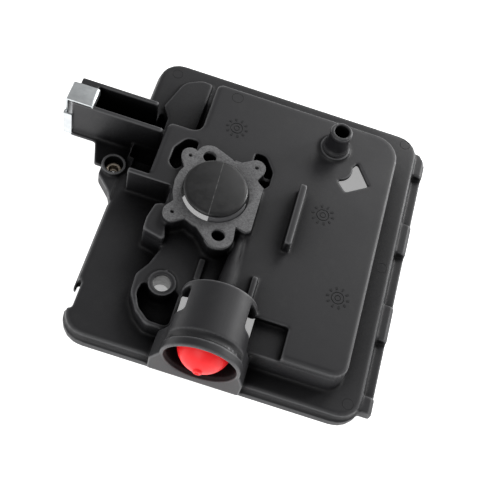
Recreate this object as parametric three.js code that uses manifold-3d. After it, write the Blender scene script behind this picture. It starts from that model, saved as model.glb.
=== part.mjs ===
// Base of a small engine's air filter housing, with its priming bulb, as an assembly.
//
// Working frame, in millimetres: X runs across the tray and Y along it, both from the tray's
// front left corner. Z = 0 is the top of the tray's plate. The side that faces the engine looks
// up, and the open side that takes the filter looks down and stands on its rim. The last lines
// move the whole assembly so that the origin is under the middle of its box.

import * as THREE from 'three';
import { mergeVertices } from 'three/addons/utils/BufferGeometryUtils.js';
import Module from 'manifold-3d';

const wasm = await Module();
wasm.setup();

// ---------------------------------------------------------------- driving dimensions

// An outline is a list of corners, each as [x, y, rounding].
const rectangle = (left, right, near, far, corner) =>
  [[left, near, corner], [right, near, corner], [right, far, corner], [left, far, corner]];

const GAP = 0.3; // clearance between neighbouring pieces
const THROUGH = 1; // how far a cutter runs past the face it opens

const PLATE = { width: 130, length: 149.4, corner: 10, edge: 1.8, wall: 2.4, sheet: 2 };
const RIM = { bottom: -8, top: -4, out: 1.8, sideOut: 0.8, corner: 11.5 };
const RIM_NOTCH = { near: 10.2, far: 23.6, depth: 2.2 }; // finger notch in the left side
const RIM_HOOK = { near: 20.2, right: 0.3 };
const HINGE = { outer: 135.6, stripTop: -5.5, tabTop: -2.2, chamfer: 1.6 };
const HINGE_TABS = [[5.7, 13.7], [40.6, 58.4], [86.0, 102.4], [130.4, 143.4]];
const LAST_TAB_BEVEL = { along: 4.9, across: 3.7 };

const PLATFORM = { top: 16, wall: 2.4, edge: 1.8, draft: 0.5 };
const PLATFORM_CORNERS = [
  [119.1, 9.2, 7], [119.1, 133.7, 12], [28.5, 133.7, 3.5], [28.5, 104.5, 4],
  [13.3, 104.5, 3.5], [13.3, 72.0, 1.5], [24.5, 72.0, 1.5], [24.5, 58.0, 1.5],
  [62.0, 58.0, 1.5], [62.0, 9.2, 1],
];
const SADDLE = { top: 9.5, wall: 2.2, edge: 1.2 };
const SADDLE_CORNERS = [
  [64, 9.3, 1], [64, 59, 1], [30, 59, 1], [29.2, 44.5, 6], [26.6, 36.0, 5],
  [23.0, 30.0, 5], [23.6, 21.0, 6], [28.0, 13.8, 5], [33.5, 9.3, 5],
];
const SADDLE_POCKET = [
  [43.0, 11.2, 2], [43.0, 27.0, 1], [27.0, 27.0, 2], [26.2, 21.5, 4], [29.0, 15.6, 4], [34.6, 11.2, 4],
];
const SADDLE_POCKET_FLOOR = 2.2;
const LOW_PAD = { top: 2.2, edge: 0.8 };
const LOW_PAD_CORNERS = [
  [25.9, 103, 1], [25.9, 141.8, 1.5], [20.5, 142.2, 6], [12.4, 137.8, 8],
  [7.4, 121, 1.5], [11.2, 114.6, 1.5], [11.2, 103, 1],
];
const EAR_PAD_CORNERS = [
  [30.5, 45.0, 1.5], [26.6, 59.0, 1.5], [24.6, 63.0, 1.2], [21.0, 61.0, 1.2],
  [19.6, 54.0, 2], [19.8, 47.6, 1.5],
];

const THROAT = { x: 44.2, y: 72.7, bore: 14.8, tube: 17.2 };
const SEAT = { bottom: 6, top: 18.4 };
const TUBE_BOTTOM = 2;
const GASKET = { bottom: SEAT.top + GAP, top: 20.2 };
const BOLT_HOLE = 3.0;
const EAR_HOLE = 0.9;
const BOLTS = [[36.8, 89.3], [51.0, 53.2]];
const EARS = [[28.6, 87.1], [57.9, 91.4], [29.4, 57.2]];
const EAR_POCKET_FLOOR = 7;
const EAR_POCKETS = [
  [[29.8, 88, 0.5], [29.8, 98.2, 1.2], [24.4, 98.2, 4], [20.3, 91.5, 4], [20.3, 83, 3], [24, 80.5, 1]],
  [[62, 83.5, 1], [65.4, 87, 3], [65.4, 94.5, 5], [60.4, 101.9, 3.5], [55.6, 101.9, 1], [55.6, 90, 0.5]],
];
const BOLT_BOSS = 6.2;

const BAFFLE = { x: 44.0, y: 72.1, radius: 14.0, bottom: 23.2, top: 25.2, crown: 26.2 };
const BAFFLE_LEG = { inner: 11.4, outer: 14.4, from: -88, to: -32 };
const BAFFLE_RING = { inner: 14.9, outer: 17.2, bottom: -0.6, top: TUBE_BOTTOM - GAP };

const PRIMER = { x: 60, z: 18, outer: 16, front: -4.3, back: 26, lip: 16.7, lipBack: 0 };
const PRIMER_MOUTH = { radius: 15, back: -2.2 };
const PRIMER_BORE = 13.8;
const PRIMER_REAR_WALL = 2;
const BULKHEAD = { front: 12.3, back: 14, tube: 3.2, port: 1.5 };
const GROOVE = { radius: 14.8, front: 0, back: 3.2, from: 12, to: 168 };
const PEDESTAL = { back: 8.5, left: 39.6, right: 79.2, shoulder: 8.5, heel: -1, toe: -1.8, corner: 3.5 };
const SNAP_SLOT = { reach: 12.4, front: 12.6, back: 23.6, top: 28.4, mid: 14 };
const SNAP_SHAFT = { inner: 11, left: 14.2, right: 13.8, back: 27, leftTop: 14, rightTop: 12.8 };

const DOME = { radius: 11.3, middle: 4.2, back: 6, wall: 1.4, nipple: 2.1, nippleTip: -8.0 };
const BULB_WALL = { inner: 11.6, outer: 12.4, front: 5 };
const BULB_FLANGE = { radius: 13.4, front: 10.2, back: 12 };
const RETAINER = { inner: 12.7, outer: 13.5, front: 7, back: 9.9 };

const DUCT = { x: 60.8, z: 13.5, near: 29, far: 61, nearRadius: 4.6, farRadius: 2.6 };
const BOSS_B = { x: 34.9, y: 28.7, radius: 6, bottom: 0, top: 10.5, hole: 4.7 };
const BUSH = { outer: 4.4, inner: 3.6, bottom: 0.7, top: 10.1 };
const BOSS_A = { x: -3.9, y: 81.9, radius: 5.6, top: 2.2, counterbore: 4.2, floor: -3, seat: 3.3, through: 1.8 };
const INSERT = { outer: 3.0, inner: 1.7, bottom: -6.7, top: -3.2, flange: 3.9, flangeTop: -2.4 };

const ARM = { left: -29.5, near: 97.3, far: 112.6, wall: 2.2, top: 15.5, floor: -6 };
const ARM_LAND = { right: -21.0, bottom: 12.8 };
const ARM_LIP = { out: 1.7, top: -6.3, right: -17.5 };
const SHELF_CORNERS = [[0, 84], [0, 97.6], [-18, 97.6], [-13.8, 84]];
const GUSSET_CORNERS = [[0, 65], [0, 86], [-9.2, 86], [-9.2, 76], [-2.3, 69]];
const CLIP = { left: -32.6, right: -20.8, near: 97.7, far: 108, sheet: 1.0, drop: -7.5, tab: 0.6, tabTop: 6 };
const CLIP_TONGUE = { near: 100.7, far: 107 }; // the part folded under the land
const ARM_WALL_ENDS = { near: 12.6, far: 6.7 }; // where the channel's walls end over the tray
const CHANNEL_END = [
  [-1, 99.5, 0.2], [11, 99.5, 1], [11, 113.2, 2.5], [8.6, 117.4, 1],
  [6.9, 117.4, 0.3], [6.9, 110.4, 0.2], [-1, 110.4, 0.2],
];
const WELL = rectangle(0.8, 12.9, 90, 97, 0.8);
const WELL_STEP = rectangle(3.6, 12.9, 83.8, 91, 0.8);
const WELL_STEP_FLOOR = -2.5;

const SPIGOT = { x: 89.1, y: 117.4, bore: 3.2, top: 30.2, tube: 4.7, foot: 6.0, plug: 5.0 };
const COLLAR = { radius: 7.0, top: 17.6, hole: 5.3 };
const WINDOW = [[101.2, 114], [94.3, 101.6], [98.9, 96.7], [108.6, 103.5]];
const WINDOW_LAND = { x: 93.2, y: 108.6, radius: 6.6 };

const TALL_RIB = { x: 79.9, width: 3.0, from: 57.4, to: 88.4, top: 24 };
const SMALL_RIB = { x: 71.2, width: 2.6, from: 26, to: 41, top: 18.4 };
const UNDER_RIBS = {
  bottom: 8.6,
  lines: [[73, 74.8, 44, 131.5], [61, 117.5, 89.6, 91.4], [75, 117.5, 43, 44.8]], // left, right, near, far
};
const SADDLE_BLOCK = { left: 46.6, right: 49.4, near: 34, far: 45, top: 11.5 };
const CUP_SHEET = 1.6; // thickness of the cups below the shell's recesses
const LEDGE = { left: 4.8, near: 72.0, far: 74.4 };
const FRONT_POCKET = { left: 74, right: 90.4, near: 11.5, far: 24.2, floor: 12.5 };

// The moulding is kept as four solids, one above the other, so that each one stays simple.
const LAYERS = {
  tray_rim: [RIM.bottom, HINGE.tabTop],
  tray_plate: [HINGE.tabTop + GAP, 0],
  air_box_walls: [GAP, 11.7],
  air_box_roof: [11.7 + GAP, TALL_RIB.top],
};

// ---------------------------------------------------------------- finishes

const finish = (color, roughness, metalness = 0) =>
  new THREE.MeshStandardMaterial({ color, roughness, metalness });

const blackPlastic = finish(0x2b2b2d, 0.62);
const greyGasket = finish(0x9a9a9a, 0.9);
const redRubber = finish(0xd8262a, 0.45);
const zinc = finish(0xd6dade, 0.35, 0.9);
const brass = finish(0xb08a4a, 0.4, 0.9);
const steel = finish(0xa8a8a8, 0.4, 0.9);

// ---------------------------------------------------------------- solids and booleans

function signedVolume(positions, triangles) {
  const corner = [new THREE.Vector3(), new THREE.Vector3(), new THREE.Vector3()];
  let volume = 0;
  for (let i = 0; i < triangles.length; i += 3) {
    corner.forEach((point, k) => point.fromArray(positions, triangles[i + k] * 3));
    volume += corner[0].dot(corner[1].cross(corner[2])) / 6;
  }
  return volume;
}

// A closed three.js geometry as a solid, with its faces pointing out.
function solid(geometry) {
  const bare = geometry.clone();
  bare.deleteAttribute('normal');
  bare.deleteAttribute('uv');
  const merged = mergeVertices(bare, 1e-4);
  const positions = new Float32Array(merged.attributes.position.array);
  const triangles = [];
  for (let i = 0; i < merged.index.count; i += 3) {
    const [a, b, c] = [0, 1, 2].map((k) => merged.index.getX(i + k));
    if (a !== b && b !== c && c !== a) triangles.push(a, b, c);
  }
  if (signedVolume(positions, triangles) < 0) triangles.reverse();
  const mesh = new wasm.Mesh({ numProp: 3, vertProperties: positions, triVerts: new Uint32Array(triangles) });
  return new wasm.Manifold(mesh);
}

const join = (...solids) => solids.reduce((whole, next) => whole.add(next));
const cut = (whole, ...cutters) => cutters.reduce((rest, cutter) => rest.subtract(cutter), whole);

function piece(name, body, material) {
  const { vertProperties, triVerts } = body.getMesh();
  const geometry = new THREE.BufferGeometry();
  geometry.setAttribute('position', new THREE.BufferAttribute(vertProperties, 3));
  geometry.setIndex(new THREE.BufferAttribute(triVerts, 1));
  geometry.computeVertexNormals();
  const mesh = new THREE.Mesh(geometry, material);
  mesh.name = name;
  return mesh;
}

// ---------------------------------------------------------------- outlines

const ALONG_Y = new THREE.Matrix4().makeBasis(
  new THREE.Vector3(1, 0, 0), new THREE.Vector3(0, 0, 1), new THREE.Vector3(0, -1, 0));
const ALONG_X = new THREE.Matrix4().makeBasis(
  new THREE.Vector3(0, 1, 0), new THREE.Vector3(0, 0, 1), new THREE.Vector3(1, 0, 0));

const polygon = (points) => new THREE.Shape(points.map(([x, y]) => new THREE.Vector2(x, y)));
const circle = (x, y, radius) => new THREE.Shape().absarc(x, y, radius, 0, 2 * Math.PI, false);

// The outline round two discs, such as a lug and the body that it grows from.
function lug(x1, y1, r1, x2, y2, r2) {
  const along = Math.atan2(y2 - y1, x2 - x1);
  const lean = Math.acos((r1 - r2) / Math.hypot(x2 - x1, y2 - y1));
  const shape = new THREE.Shape();
  shape.absarc(x1, y1, r1, along + lean, along - lean + 2 * Math.PI, false);
  shape.absarc(x2, y2, r2, along - lean, along + lean, false);
  return shape;
}

// A sector of a ring between two angles in degrees.
function ringSector(x, y, inner, outer, fromDegrees, toDegrees) {
  const from = THREE.MathUtils.degToRad(fromDegrees);
  const to = THREE.MathUtils.degToRad(toDegrees);
  const shape = new THREE.Shape();
  shape.absarc(x, y, outer, from, to, false);
  shape.absarc(x, y, inner, to, from, true);
  return shape;
}

const CORNER_STEPS = 5;

// Points of a polygon whose corners [x, y, radius] are rounded, moved inwards by an inset.
function roundedOutline(corners, inset = 0) {
  const points = corners.map(([x, y]) => new THREE.Vector2(x, y));
  const turn = Math.sign(THREE.ShapeUtils.area(points));
  const outline = [];
  points.forEach((point, i) => {
    const before = points.at(i - 1);
    const after = points[(i + 1) % points.length];
    const arriving = point.clone().sub(before).normalize();
    const leaving = after.clone().sub(point).normalize();
    const inwards = (d) => new THREE.Vector2(-d.y, d.x).multiplyScalar(turn);
    const bisector = inwards(arriving).add(inwards(leaving));
    const shift = inset / (1 + arriving.dot(leaving));
    const corner = point.clone().addScaledVector(bisector, shift);
    const bend = arriving.angleTo(leaving);
    const convex = arriving.cross(leaving) * turn > 0;
    const radius = Math.max(corners[i][2] + (convex ? -inset : inset), 0.2);
    const reach = radius * Math.tan(bend / 2);
    const start = corner.clone().addScaledVector(arriving, -reach);
    const side = inwards(arriving).multiplyScalar(convex ? radius : -radius);
    const centre = start.clone().add(side);
    for (let k = 0; k <= CORNER_STEPS; k += 1) {
      const angle = (bend * k / CORNER_STEPS) * (convex ? turn : -turn);
      outline.push(start.clone().rotateAround(centre, angle));
    }
  });
  return outline;
}

// ---------------------------------------------------------------- solid primitives

function prismZ(shape, bottom, top, steps = 16) {
  const geometry = new THREE.ExtrudeGeometry(shape, {
    depth: top - bottom, bevelEnabled: false, curveSegments: steps,
  });
  return solid(geometry.translate(0, 0, bottom));
}

// A shape drawn in X and Z, extruded from one Y to another.
function prismY(shape, near, far, steps = 16) {
  const geometry = new THREE.ExtrudeGeometry(shape, {
    depth: far - near, bevelEnabled: false, curveSegments: steps,
  });
  return solid(geometry.applyMatrix4(ALONG_Y).translate(0, far, 0));
}

// A shape drawn in Y and Z, extruded from one X to another.
function prismX(shape, left, right) {
  const geometry = new THREE.ExtrudeGeometry(shape, { depth: right - left, bevelEnabled: false });
  return solid(geometry.applyMatrix4(ALONG_X).translate(left, 0, 0));
}

function block(left, right, near, far, bottom, top) {
  const corners = [[left, near], [right, near], [right, far], [left, far]];
  return prismZ(polygon(corners), bottom, top);
}

const rodZ = (x, y, radius, bottom, top, steps = 14) => prismZ(circle(x, y, radius), bottom, top, steps);
const rodY = (x, z, radius, near, far, steps = 24) => prismY(circle(x, z, radius), near, far, steps);

// A solid of revolution about a vertical axis, from its closed half profile of [radius, z].
function turnedZ(x, y, profile, segments = 32) {
  const points = profile.map(([radius, z]) => new THREE.Vector2(radius, z));
  return solid(new THREE.LatheGeometry(points, segments).rotateX(Math.PI / 2).translate(x, y, 0));
}

// A solid of revolution about an axis along Y, from its closed half profile of [radius, y].
function turnedY(x, z, profile, segments = 32) {
  const points = profile.map(([radius, y]) => new THREE.Vector2(radius, y));
  return solid(new THREE.LatheGeometry(points, segments).translate(x, 0, z));
}

// A solid that joins rings of points, each ring at its own height.
function loft(rings) {
  const count = rings[0].points.length;
  const positions = [];
  const index = [];
  rings.forEach(({ points, z }) => points.forEach((point) => positions.push(point.x, point.y, z)));
  for (let ring = 0; ring + 1 < rings.length; ring += 1) {
    for (let i = 0; i < count; i += 1) {
      const a = ring * count + i;
      const b = ring * count + (i + 1) % count;
      index.push(a, b, b + count, a, b + count, a + count);
    }
  }
  const last = (rings.length - 1) * count;
  THREE.ShapeUtils.triangulateShape(rings[0].points, []).forEach(([a, b, c]) => index.push(a, c, b));
  THREE.ShapeUtils.triangulateShape(rings.at(-1).points, []).forEach(([a, b, c]) => {
    index.push(last + a, last + b, last + c);
  });
  const geometry = new THREE.BufferGeometry();
  geometry.setAttribute('position', new THREE.Float32BufferAttribute(positions, 3));
  geometry.setIndex(index);
  return solid(geometry);
}

const EDGE_STEPS = 3;

// A raised block with rounded corners, a rounded top edge and sides that lean in by its draft.
function raised(corners, bottom, top, edge, inset = 0, draft = 0) {
  const rings = [{ points: roundedOutline(corners, inset), z: bottom }];
  for (let k = 0; k <= EDGE_STEPS; k += 1) {
    const angle = (Math.PI / 2) * (k / EDGE_STEPS);
    const lean = inset + draft + edge * (1 - Math.cos(angle));
    rings.push({ points: roundedOutline(corners, lean), z: top - edge * (1 - Math.sin(angle)) });
  }
  return loft(rings);
}

const straight = (corners, bottom, top, inset = 0) => loft([
  { points: roundedOutline(corners, inset), z: bottom },
  { points: roundedOutline(corners, inset), z: top },
]);

// ---------------------------------------------------------------- filter tray

const PLATE_CORNERS = rectangle(0, PLATE.width, 0, PLATE.length, PLATE.corner);
const DEEP = RIM.bottom - THROUGH;

function rimAndHinges() {
  const { width, length } = PLATE;
  const flange = rectangle(-RIM.sideOut, width + RIM.sideOut, -RIM.out, length + RIM.out, RIM.corner);
  const armRoot = block(-5, 0, GUSSET_CORNERS[0][1] - GAP, ARM.far + GAP, DEEP, 0);
  const strip = block(width - 2, HINGE.outer,
    HINGE_TABS[0][0], HINGE_TABS.at(-1)[1], RIM.bottom, HINGE.stripTop);
  const tabs = HINGE_TABS.map(([near, far]) => {
    const { outer, tabTop, chamfer } = HINGE;
    const side = polygon([
      [width - 2, RIM.bottom], [outer, RIM.bottom], [outer, tabTop - chamfer],
      [outer - chamfer, tabTop], [width - 2, tabTop],
    ]);
    return prismY(side, near, far);
  });
  const { along, across } = LAST_TAB_BEVEL;
  const end = HINGE_TABS.at(-1)[1];
  const bevel = prismZ(polygon([
    [HINGE.outer - across, end], [HINGE.outer, end - along],
    [HINGE.outer + THROUGH, end - along], [HINGE.outer + THROUGH, end + THROUGH],
    [HINGE.outer - across, end + THROUGH],
  ]), DEEP, 0);
  return cut(join(cut(straight(flange, RIM.bottom, RIM.top), armRoot), strip, ...tabs), bevel);
}

// Notch in the left side with its own inner wall, and the short hook that reaches into it.
function sideNotch() {
  const { near, far, depth } = RIM_NOTCH;
  const { wall } = PLATE;
  return {
    backing: block(0, depth + wall, near - wall, far + wall, RIM.bottom, -PLATE.edge),
    hole: block(-5, depth, near, far, DEEP, THROUGH),
    hook: block(-RIM.sideOut, RIM_HOOK.right, RIM_HOOK.near, far + THROUGH, RIM.bottom, RIM.top),
  };
}

// Low walls and floors round the well beside the arm and the end of the arm's channel.
function armCups() {
  const bottom = RIM.bottom + GAP;
  return join(
    block(0, 14.8, 88, 118.8, bottom, -THROUGH),
    block(1.6, 14.8, 82, 89, WELL_STEP_FLOOR - 1.8, -THROUGH));
}

const armWells = () => join(
  straight(CHANNEL_END, ARM.floor, ARM.top + THROUGH),
  straight(WELL, ARM.floor, THROUGH),
  straight(WELL_STEP, WELL_STEP_FLOOR, THROUGH));

// The outline that the gasket and the seat below it share.
function gasketOutlineSolid(bottom, top) {
  const [upperBolt, lowerBolt] = BOLTS;
  const [upperLeft, upperRight, lowerLeft] = EARS;
  const outlines = [
    circle(THROAT.x, THROAT.y, 18.4),
    lug(...upperBolt, 6.0, 41.5, 82, 11),
    lug(...upperLeft, 3.9, 34, 82, 6),
    lug(...upperRight, 4.0, 52, 84.5, 6.5),
    lug(...lowerLeft, 4.0, 35.5, 63.5, 5.5),
    lug(51.6, 53.2, 6.0, 47, 62, 9.5),
    polygon([[48, 91.8], [54, 91.4], [61, 84], [63.4, 82.3], [63.6, 60], [61.6, 58.7], [56, 60], [48, 64]]),
  ];
  return join(...outlines.map((shape) => prismZ(shape, bottom, top, 12)));
}

const earPockets = () => join(
  ...EAR_POCKETS.map((corners) => straight(corners, EAR_POCKET_FLOOR, PLATFORM.top + THROUGH)));

function insideTray() {
  const { wall, sheet } = PLATE;
  const plenum = straight(PLATFORM_CORNERS, DEEP, PLATFORM.top - PLATFORM.wall, PLATFORM.wall + PLATFORM.draft);
  const saddle = straight(SADDLE_CORNERS, DEEP, SADDLE.top - SADDLE.wall, SADDLE.wall);
  return join(straight(PLATE_CORNERS, DEEP, -sheet, wall), plenum, saddle);
}

function primerClearance() {
  const { x, z, outer, lip, lipBack, front, back } = PRIMER;
  const { left, right } = PEDESTAL;
  return join(
    rodY(x, z, outer + GAP, front - THROUGH, back + GAP),
    rodY(x, z, lip + GAP, front - THROUGH, lipBack + GAP),
    block(left - GAP, right + GAP, front - THROUGH, PEDESTAL.back + GAP, DEEP, z));
}

// Openings straight down beside the primer housing, where the mould forms its snap slots.
function snapShafts() {
  const { x } = PRIMER;
  const { inner, back } = SNAP_SHAFT;
  const { front } = SNAP_SLOT;
  const left = block(x - SNAP_SHAFT.left, x - inner, front, back, DEEP, SNAP_SHAFT.leftTop);
  const right = block(x + inner, x + SNAP_SHAFT.right, front, back, DEEP, SNAP_SHAFT.rightTop);
  return join(left, right);
}

function underRibs() {
  const top = PLATFORM.top - PLATFORM.wall / 2;
  return join(...UNDER_RIBS.lines.map((line) => block(...line, UNDER_RIBS.bottom, top)));
}

function duct() {
  const { x, z, near, far, nearRadius, farRadius } = DUCT;
  return join(
    turnedY(x, z, [[0, near], [nearRadius, near], [farRadius, far], [0, far]], 28),
    block(x - farRadius, x + farRadius, near, far, SADDLE.top - THROUGH, z));
}

function filterTray() {
  const { top, edge, draft } = PLATFORM;
  const shell = join(
    raised(PLATE_CORNERS, RIM.bottom, 0, PLATE.edge),
    rimAndHinges(),
    raised(PLATFORM_CORNERS, -THROUGH, top, edge, 0, draft),
    raised(SADDLE_CORNERS, -THROUGH, SADDLE.top, SADDLE.edge),
    raised(LOW_PAD_CORNERS, -THROUGH, LOW_PAD.top, LOW_PAD.edge),
    raised(EAR_PAD_CORNERS, -THROUGH, top, 0.8),
    block(LEDGE.left, 26, LEDGE.near, LEDGE.far, -THROUGH, top),
    block(0, ARM_WALL_ENDS.near, ARM.near, ARM.near + ARM.wall, -PLATE.edge, 0),
    block(0, ARM_WALL_ENDS.far, ARM.far - ARM.wall, ARM.far, -PLATE.edge, 0));
  const pocket = straight(SADDLE_POCKET, SADDLE_POCKET_FLOOR, SADDLE.top + THROUGH);
  const frontPocket = block(FRONT_POCKET.left, FRONT_POCKET.right, 5, FRONT_POCKET.far,
    FRONT_POCKET.floor, top + THROUGH);
  const belowThroat = rodZ(THROAT.x, THROAT.y, THROAT.tube + GAP, DEEP, TUBE_BOTTOM, 24);
  const notch = sideNotch();
  const hollow = cut(shell, earPockets(), frontPocket, pocket, insideTray(), belowThroat);
  const inside = join(
    cut(join(hollow, armCups(), notch.backing), armWells(), notch.hole),
    notch.hook,
    gasketOutlineSolid(SEAT.bottom, SEAT.top),
    rodZ(THROAT.x, THROAT.y, THROAT.tube, TUBE_BOTTOM, SEAT.top, 24),
    ...BOLTS.map(([x, y]) => rodZ(x, y, BOLT_BOSS, TUBE_BOTTOM, SEAT.top)),
    rodZ(BOSS_B.x, BOSS_B.y, BOSS_B.radius, BOSS_B.bottom, BOSS_B.top),
    rodZ(SPIGOT.x, SPIGOT.y, COLLAR.radius, PLATFORM.top - 4, COLLAR.top),
    block(TALL_RIB.x - TALL_RIB.width / 2, TALL_RIB.x + TALL_RIB.width / 2,
      TALL_RIB.from, TALL_RIB.to, top - 1, TALL_RIB.top),
    block(SMALL_RIB.x - SMALL_RIB.width / 2, SMALL_RIB.x + SMALL_RIB.width / 2,
      SMALL_RIB.from, SMALL_RIB.to, top - 1, SMALL_RIB.top),
    block(SADDLE_BLOCK.left, SADDLE_BLOCK.right, SADDLE_BLOCK.near, SADDLE_BLOCK.far,
      SADDLE.top - 1, SADDLE_BLOCK.top),
    pocketFloor(),
    underRibs(),
    duct());
  const windowHole = cut(prismZ(polygon(WINDOW), 0, top + 4),
    rodZ(WINDOW_LAND.x, WINDOW_LAND.y, WINDOW_LAND.radius, -THROUGH, top + 5));
  return cut(
    inside,
    rodZ(THROAT.x, THROAT.y, THROAT.bore, 0, SEAT.top + THROUGH, 24),
    ...BOLTS.map(([x, y]) => rodZ(x, y, BOLT_HOLE, 0, SEAT.top + THROUGH)),
    rodZ(BOSS_B.x, BOSS_B.y, BOSS_B.hole, DEEP, BOSS_B.top + THROUGH),
    rodZ(SPIGOT.x, SPIGOT.y, COLLAR.hole, 0, COLLAR.top + THROUGH),
    rodZ(BOSS_A.x, BOSS_A.y, BOSS_A.radius + GAP, DEEP, 20),
    windowHole,
    primerClearance(),
    snapShafts());
}

// Cups that close the shell again below its recesses.
function pocketFloor() {
  const sheet = CUP_SHEET;
  const earCups = EAR_POCKETS.map((corners) => cut(
    straight(corners, EAR_POCKET_FLOOR - sheet, PLATFORM.top - 1, -sheet),
    straight(corners, EAR_POCKET_FLOOR, PLATFORM.top)));
  const saddleCup = cut(
    straight(SADDLE_POCKET, SADDLE_POCKET_FLOOR - sheet, SADDLE.top - 1, -sheet),
    straight(SADDLE_POCKET, SADDLE_POCKET_FLOOR, SADDLE.top));
  const frontCup = block(FRONT_POCKET.left, FRONT_POCKET.right + sheet, FRONT_POCKET.near, FRONT_POCKET.far + sheet,
    FRONT_POCKET.floor - sheet, FRONT_POCKET.floor);
  return join(...earCups, saddleCup, frontCup);
}

// ---------------------------------------------------------------- support arm

function supportArm() {
  const { left, near, far, wall, top, floor } = ARM;
  const right = -GAP;
  const walls = cut(
    block(left, right, near, far, RIM.bottom, top),
    block(left + wall, right + THROUGH, near + wall, far - wall, floor, top + THROUGH));
  const land = block(left, ARM_LAND.right, near, far, ARM_LAND.bottom, top);
  const lip = block(left, ARM_LIP.right, near - ARM_LIP.out, near + 1, RIM.bottom, ARM_LIP.top);
  const shelf = prismZ(polygon(SHELF_CORNERS.map(([x, y]) => [Math.min(x, right), y])), RIM.bottom, floor);
  const gusset = prismZ(polygon(GUSSET_CORNERS.map(([x, y]) => [Math.min(x, right), y])), RIM.bottom, 0);
  const boss = rodZ(BOSS_A.x, BOSS_A.y, BOSS_A.radius, RIM.bottom, BOSS_A.top);
  const nearEnd = block(right - 1, ARM_WALL_ENDS.near, near, near + wall, GAP, top);
  const farEnd = block(right - 1, ARM_WALL_ENDS.far, far - wall, far, GAP, top);
  return cut(
    join(walls, land, lip, shelf, gusset, boss, nearEnd, farEnd),
    rodZ(BOSS_A.x, BOSS_A.y, BOSS_A.counterbore, BOSS_A.floor, BOSS_A.top + THROUGH),
    rodZ(BOSS_A.x, BOSS_A.y, BOSS_A.seat, INSERT.bottom - GAP, BOSS_A.floor + THROUGH),
    rodZ(BOSS_A.x, BOSS_A.y, BOSS_A.through, DEEP, 0));
}

function threadedInsert() {
  const { outer, inner, bottom, top, flange, flangeTop } = INSERT;
  return turnedZ(BOSS_A.x, BOSS_A.y, [
    [inner, bottom], [outer, bottom], [outer, BOSS_A.floor + GAP], [flange, BOSS_A.floor + GAP],
    [flange, flangeTop], [inner + 0.5, flangeTop], [inner, top], [inner, bottom],
  ], 24);
}

// Folded spring clip: it grips the land at the arm's tip and hangs down the arm's end.
function springClip() {
  const { left, right, near, far, sheet, drop } = CLIP;
  const top = ARM.top + GAP + sheet;
  const lower = ARM_LAND.bottom - GAP - sheet;
  const armInside = ARM.left + ARM.wall + GAP;
  const fold = ARM_LAND.right + GAP;
  return join(
    block(left, right, near, far, top - sheet, top),
    block(left, left + sheet, near, far, drop, top),
    block(left - CLIP.tab, ARM.left - GAP, near, near + sheet, drop, CLIP.tabTop),
    block(armInside, fold + sheet, CLIP_TONGUE.near, CLIP_TONGUE.far, lower, lower + sheet),
    block(fold, fold + sheet, CLIP_TONGUE.near, CLIP_TONGUE.far, lower, top),
    block(right - sheet, fold + sheet, CLIP_TONGUE.near, CLIP_TONGUE.far, top - sheet, top));
}

// ---------------------------------------------------------------- primer

function primerHousing() {
  const { x, z, outer, front, back, lip, lipBack } = PRIMER;
  const { left, right, shoulder } = PEDESTAL;
  const foot = polygon([
    [left, RIM.bottom], [right, RIM.bottom], [right, shoulder], [x + lip - 0.6, z],
    [x - lip + 0.6, z], [left, shoulder],
  ]);
  const { heel, toe, corner } = PEDESTAL;
  const undercut = prismX(polygon([
    [front - THROUGH, heel], [front, heel], [toe, RIM.bottom], [toe, DEEP], [front - THROUGH, DEEP],
  ]), left - THROUGH, right + THROUGH);
  const rearCorner = cut(
    block(left - THROUGH, left + corner, PEDESTAL.back - corner, PEDESTAL.back + THROUGH, DEEP, shoulder),
    rodZ(left + corner, PEDESTAL.back - corner, corner, DEEP - 1, shoulder + 1));
  const pedestal = cut(prismY(foot, front, PEDESTAL.back), undercut, rearCorner);
  const body = join(
    rodY(x, z, outer, front, back, 32),
    rodY(x, z, lip, front, lipBack, 32),
    pedestal);
  const bore = join(
    rodY(x, z, PRIMER_MOUTH.radius, front - THROUGH, PRIMER_MOUTH.back, 32),
    rodY(x, z, PRIMER_BORE, front, BULKHEAD.front, 32),
    rodY(x, z, PRIMER_BORE, BULKHEAD.back, back - PRIMER_REAR_WALL, 32));
  const groove = prismY(ringSector(x, z, GROOVE.radius, 20, GROOVE.from, GROOVE.to), GROOVE.front, GROOVE.back, 24);
  const feedTube = rodY(x, z - 2, BULKHEAD.tube, BULKHEAD.front, back - 1, 10);
  const port = rodY(x, z - 2, BULKHEAD.port, BULKHEAD.front - THROUGH, back + THROUGH, 8);
  const { reach, top, mid } = SNAP_SLOT;
  const slot = (near, far) => block(near, far, SNAP_SLOT.front, SNAP_SLOT.back, mid - THROUGH, top);
  const slots = join(slot(x - 20, x - reach), slot(x + reach, x + 20), snapShafts());
  const pedestalHollow = block(left + 2.4, right - 2.4, front + 2.2, PEDESTAL.back + THROUGH, DEEP, -1);
  return cut(join(cut(body, bore, groove, slots, pedestalHollow), feedTube), port);
}

function bulbDome() {
  const { radius, middle, back, wall, nipple, nippleTip } = DOME;
  const steps = 9;
  const arc = (r, from, to) => Array.from({ length: steps + 1 }, (_, k) => {
    const angle = THREE.MathUtils.degToRad(from + (to - from) * (k / steps));
    return [r * Math.sin(angle), middle - r * Math.cos(angle)];
  });
  const outside = arc(radius, 0, 90);
  const inside = arc(radius - wall, 90, 0);
  const profile = [...outside, [radius, back], [radius - wall, back], ...inside];
  profile[0][0] = 0;
  profile[profile.length - 1][0] = 0;
  const dome = turnedY(PRIMER.x, PRIMER.z, profile, 36);
  return join(dome, rodY(PRIMER.x, PRIMER.z, nipple, nippleTip, middle - radius + wall / 2, 8));
}

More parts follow.
